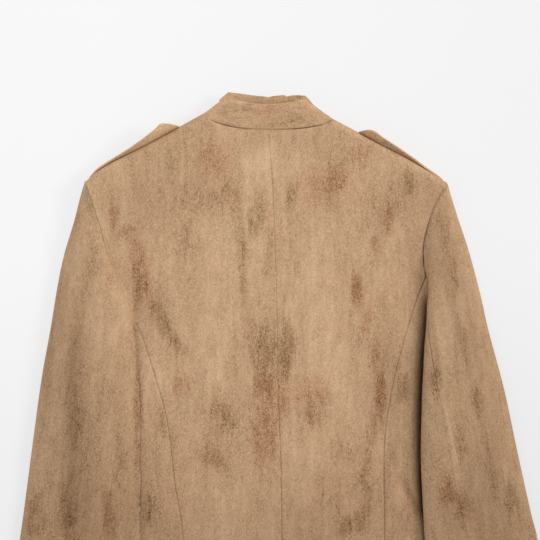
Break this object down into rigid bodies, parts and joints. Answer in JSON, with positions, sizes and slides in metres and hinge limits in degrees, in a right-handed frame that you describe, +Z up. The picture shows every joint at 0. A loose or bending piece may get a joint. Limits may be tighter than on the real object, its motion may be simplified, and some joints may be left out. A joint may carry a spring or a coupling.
{
  "type": "suede jacket laid flat",
  "caption": "Fitted suede jacket with a stand collar, shoulder straps, panelled back and set-in sleeves, laid flat on its front with the back up.",
  "frame": {"origin": "on the surface the jacket lies on, under the waist, at the centre of the view's width", "axes": "+X to the right of the back as seen from above, +Y from the hem to the collar, +Z up from the surface through the back"},
  "size_m": [0.643, 0.6851, 0.0311],
  "materials": {
    "suede": "matt napped suede, mottled tan, soft nap brushed down the garment"
  },
  "bodies": {
    "root": {"back_left": "suede", "back_right": "suede", "side_back_left": "suede", "side_back_right": "suede", "front_left": "suede", "front_right": "suede", "sleeve_upper_left": "suede", "sleeve_upper_right": "suede", "sleeve_under_left": "suede", "sleeve_under_right": "suede", "collar": "suede", "shoulder_strap_left": "suede", "shoulder_strap_right": "suede"}
  },
  "joints": []
}
